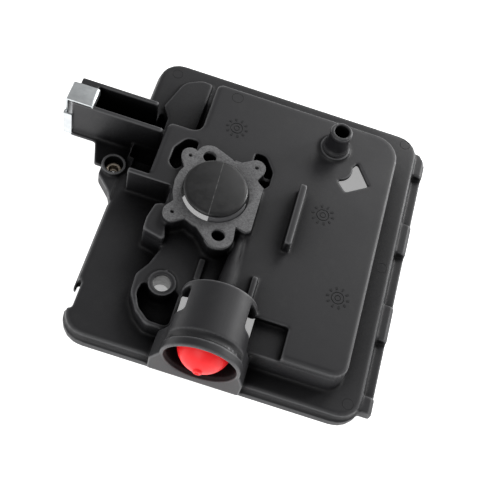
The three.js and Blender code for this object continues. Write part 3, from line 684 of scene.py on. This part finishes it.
def spring_clip():
    """Folded clip: plate over the arm's tip, end plate down its end and a tongue under the land."""
    path = [(-32.55, -7.4), (-32.55, 16.75), (-19.75, 16.75), (-19.75, 11.6), (-26.9, 11.6)]
    outline = sheet_outline(path, CLIP_SHEET, CLIP_BEND)
    clip = extruded("folded_clip", outline, place(0, CLIP_FAR, 0), ACROSS_TRAY, UPRIGHT, CLIP_WIDTH)
    corner = [(-33.1, 95.9), (-29.0, 95.9), (-29.0, 96.85), (-31.65, 96.85), (-31.65, 98.2), (-33.1, 98.2)]
    tab_bottom, tab_height = -7.4, 15.2
    side = extruded("clip_tab", corner, place(0, 0, tab_bottom), ACROSS_TRAY, ALONG_TRAY, tab_height)
    clip = joined("folded_clip", (clip, side))
    bevelled(clip, 0.2, 2, angle=50)
    return belongs(clip, ZINC, ("spring_clip",))


# ---------------------------------------------------------------- mould marks

DIAL_PLACES = ((43.8, 111.6), (91.9, 81.4), (107.1, 44.3))
EJECTOR_PLACES = ((7.8, 142.8), (123.3, 144.7), (125.5, 74.4), (124.2, 6.6))
EJECTOR_ON_ROOF = (39.7, 128)
TICK_HEIGHT = 0.44
TICK_SUNK = 0.3


def mark_ring(name, x, y, z, radius, wire, proud):
    """A thin raised ring, sunk in the surface so that only proud mm of it stands out."""
    steps = 8
    outline = []
    for k in range(steps):
        angle = 2 * math.pi * k / steps
        outline.append((radius + wire * math.cos(angle), proud - wire + wire * math.sin(angle)))
    ring = lathe(name, outline, place(x, y, z), UPRIGHT, 48)
    return belongs(ring, MARK)


def date_wheel(index, x, y):
    """Moulder's dial with no lettering: a ring, a hub and short ticks all round."""
    name = f"mould_dial_{index}"
    mark_ring(f"{name}_rim", x, y, PLATFORM_TOP, 2.7, 0.3, 0.16)
    mark_ring(f"{name}_hub", x, y, PLATFORM_TOP, 1.2, 0.25, 0.14)
    ticks = []
    count = 10
    for k in range(count):
        angle = 2 * math.pi * k / count
        spoke = Vector((math.cos(angle), math.sin(angle), 0))
        across = Vector((-spoke.y, spoke.x, 0))
        tick = round_corners([(3.7, -0.35), (5.1, -0.55), (5.1, 0.55), (3.7, 0.35)], 0.3)
        foot = place(x, y, PLATFORM_TOP - TICK_SUNK)
        ticks.append(extruded("tick", tick, foot, spoke, across, TICK_HEIGHT))
    belongs(joined(f"{name}_ticks", ticks), MARK)


def mould_marks():
    """Dials on the roof and the round marks that ejector pins leave."""
    for index, (x, y) in enumerate(DIAL_PLACES, start=1):
        date_wheel(index, x, y)
    mark_ring("ejector_mark_platform", *EJECTOR_ON_ROOF, PLATFORM_TOP, 2.6, 0.2, 0.07)
    for index, (x, y) in enumerate(EJECTOR_PLACES, start=1):
        mark_ring(f"ejector_mark_{index}", x, y, PLATE_TOP, 2.4, 0.2, 0.07)


# ---------------------------------------------------------------- camera, floor and light

CAMERA_LENS = 68.82
CAMERA_PLACE = (56.306, -145.329, 370.863)
CAMERA_TURN = ((0.9514, -0.3072, -0.0239), (0.2571, 0.8341, -0.488), (0.1698, 0.4581, 0.8725))

def camera():
    """Camera high above the tray's front edge, rolled a little to one side."""
    data = bpy.data.cameras.new("camera")
    data.lens = CAMERA_LENS
    data.sensor_width = 36
    data.clip_end = 20
    view = bpy.data.objects.new("camera", data)
    view.matrix_world = Matrix.Translation(place(*CAMERA_PLACE)) @ Matrix(CAMERA_TURN).to_4x4()
    bpy.context.scene.collection.objects.link(view)
    bpy.context.scene.camera = view


SHADE_LOW, SHADE_HIGH = (3, 3), (126, 145)  # the part of the floor under the tray that gets the painted shadow
SHADE_EDGE = 3 * MM
FLOOR_HALF_WIDTH = 3.0  # m
FLOOR_GLOW = 1.02
FLOOR_GLOW_IN_SHADE = 0.4


def floor():
    """Pale floor that glows like a light table, with a painted shadow: it glows dimmer under the tray."""
    mesh = bpy.data.meshes.new("floor")
    side = FLOOR_HALF_WIDTH
    corners = [(-side, -side, 0), (side, -side, 0), (side, side, 0), (-side, side, 0)]
    mesh.from_pydata(corners, [], [(0, 1, 2, 3)])
    ground = link("floor", mesh)
    s = Shader("pale_floor")
    tone = s.noise(60, detail=2)
    colour = s.mix(tone, (0.93, 0.93, 0.93), (0.95, 0.95, 0.95))
    split = s.add("ShaderNodeSeparateXYZ")
    s.join(s.place, split.inputs["Vector"])
    shade = 1.0
    low, high = place(*SHADE_LOW, 0), place(*SHADE_HIGH, 0)
    for axis, near, far in (("X", low.x, high.x), ("Y", low.y, high.y)):
        rising = s.ramp(split.outputs[axis], near, near + SHADE_EDGE)
        falling = s.ramp(split.outputs[axis], far - SHADE_EDGE, far, 1, 0)
        shade = s.math("MULTIPLY", s.math("MULTIPLY", rising, falling), shade)
    # painted shadow: the floor's glow drops to FLOOR_GLOW_IN_SHADE under the tray
    s.join(s.ramp(shade, 0, 1, FLOOR_GLOW, FLOOR_GLOW_IN_SHADE), s.surface.inputs["Emission Strength"])
    s.join(colour, s.surface.inputs["Emission Color"])
    ground.data.materials.append(s.wear(colour, s.ramp(tone, 0, 1, 0.7, 0.8), specular=0.2))


def area_light(name, spot, width, power):
    """A round lamp that faces the origin."""
    data = bpy.data.lights.new(name, "AREA")
    data.shape = "DISK"
    data.size = width
    data.energy = power
    lamp = bpy.data.objects.new(name, data)
    aim = (-Vector(spot)).to_track_quat("-Z", "Y")
    lamp.matrix_world = Matrix.Translation(Vector(spot)) @ aim.to_matrix().to_4x4()
    bpy.context.scene.collection.objects.link(lamp)


WORLD_GLOW = 0.42
LIGHTS = (  # name, place in m, width in m, power in W
    ("key", (0.30, 0.75, 0.62), 0.5, 3.6),
    ("rim", (1.0, 0.75, 0.32), 0.4, 9),
    ("fill", (-0.25, -0.8, 0.4), 0.5, 2.2),
)


def lighting():
    world = bpy.data.worlds.new("studio")
    world.use_nodes = True
    world.node_tree.nodes["Background"].inputs["Color"].default_value = (1, 1, 1, 1)
    world.node_tree.nodes["Background"].inputs["Strength"].default_value = WORLD_GLOW
    bpy.context.scene.world = world
    for light in LIGHTS:
        area_light(*light)


# ---------------------------------------------------------------- everything

camera()
floor()
lighting()
moulding()
primer_bulb()
primer_ring()
gasket()
throat_baffle()
breather_spigot()
threaded_insert()
boss_bush()
spring_clip()
mould_marks()

bpy.context.scene.view_settings.view_transform = "Standard"
